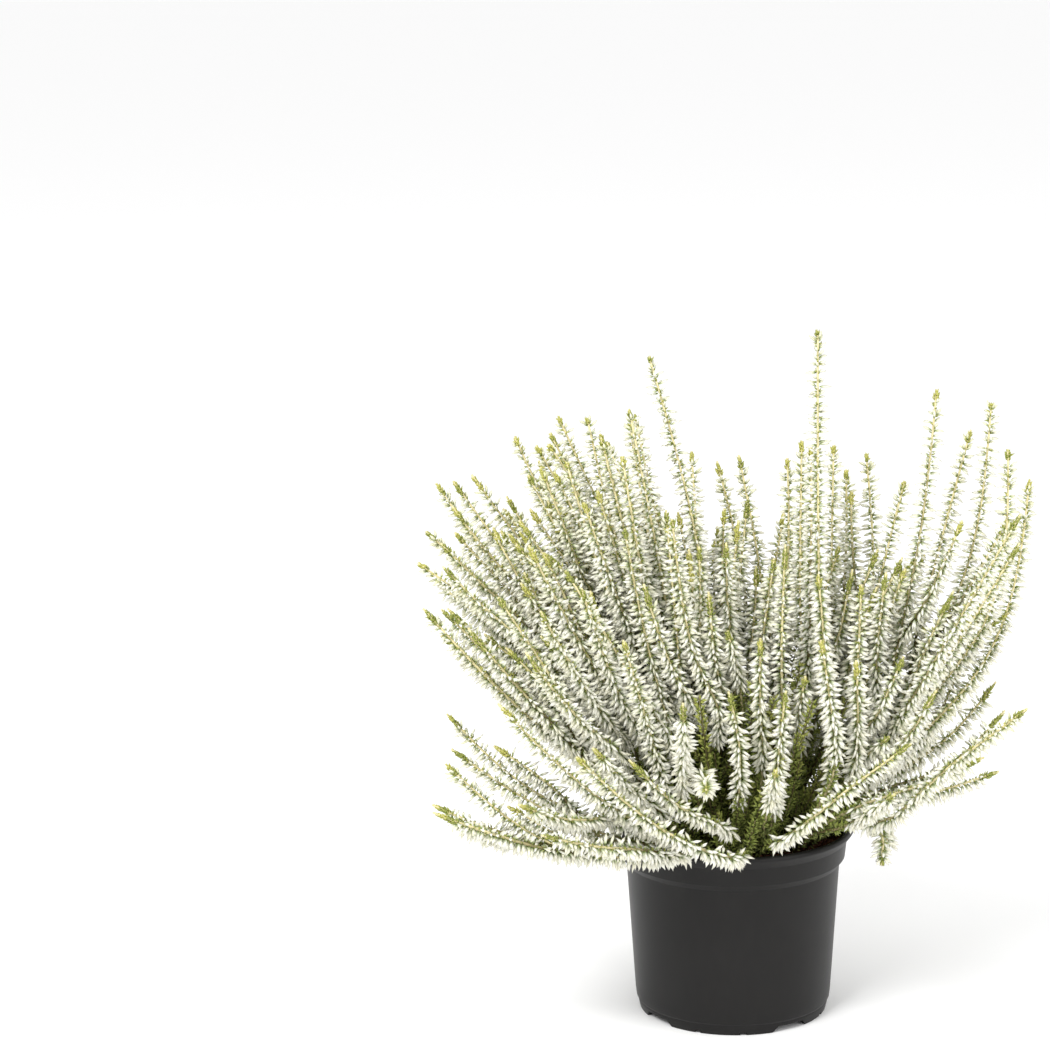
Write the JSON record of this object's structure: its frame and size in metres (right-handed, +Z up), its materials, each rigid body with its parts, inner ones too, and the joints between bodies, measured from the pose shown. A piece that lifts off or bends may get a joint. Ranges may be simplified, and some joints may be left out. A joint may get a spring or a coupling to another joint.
{
  "type": "potted heather",
  "caption": "Bushy white bud heather in a black nursery pot: upright and sprawling shoots set with small pointed buds, green at their tips and at the heart.",
  "frame": {"origin": "on the pot's axis, at the level of the surface that the pot's feet stand on", "axes": "+Z up, -Y the front of the plant as pictured, +X to the right seen from the front"},
  "size_m": [0.2982, 0.2581, 0.339],
  "materials": {
    "pot_plastic": "fine satin texture, charcoal black",
    "peat": "loose fibrous peat",
    "bloom": "soft matt white buds on pale green and tan stems",
    "green_shoots": "small dark green scale leaves"
  },
  "bodies": {
    "root": {"back_shoot_01": "bloom", "back_shoot_02": "bloom", "back_shoot_03": "bloom", "back_shoot_04": "bloom", "back_shoot_05": "bloom", "back_shoot_06": "bloom", "back_shoot_07": "bloom", "back_shoot_08": "bloom", "front_shoot_01": "bloom", "front_shoot_02": "bloom", "front_shoot_03": "bloom", "front_shoot_04": "bloom", "front_shoot_05": "bloom", "front_shoot_06": "bloom", "front_shoot_07": "bloom", "front_shoot_08": "bloom", "front_shoot_09": "bloom", "green_shoot_01": "green_shoots", "green_shoot_02": "green_shoots", "green_shoot_03": "green_shoots", "left_shoot_01": "bloom", "left_shoot_02": "bloom", "left_shoot_03": "bloom", "left_shoot_04": "bloom", "left_shoot_05": "bloom", "left_shoot_06": "bloom", "left_shoot_07": "bloom", "left_shoot_08": "bloom", "left_shoot_09": "bloom", "left_shoot_10": "bloom", "left_shoot_11": "bloom", "left_shoot_12": "bloom", "left_shoot_13": "bloom", "peat": "peat", "pot": "pot_plastic", "right_shoot_01": "bloom", "right_shoot_02": "bloom", "right_shoot_03": "bloom", "right_shoot_04": "bloom", "right_shoot_05": "bloom", "right_shoot_06": "bloom", "right_shoot_07": "bloom", "right_shoot_08": "bloom", "right_shoot_09": "bloom", "right_shoot_10": "bloom", "right_shoot_11": "bloom", "right_shoot_12": "bloom", "right_shoot_13": "bloom", "tall_shoot_01": "bloom", "tall_shoot_02": "bloom", "tall_shoot_03": "bloom", "tall_shoot_04": "bloom", "tall_shoot_05": "bloom", "tall_shoot_06": "bloom", "tall_shoot_07": "bloom", "tall_shoot_08": "bloom", "tall_shoot_09": "bloom", "tall_shoot_10": "bloom", "tall_shoot_11": "bloom", "tall_shoot_12": "bloom"}
  },
  "joints": []
}
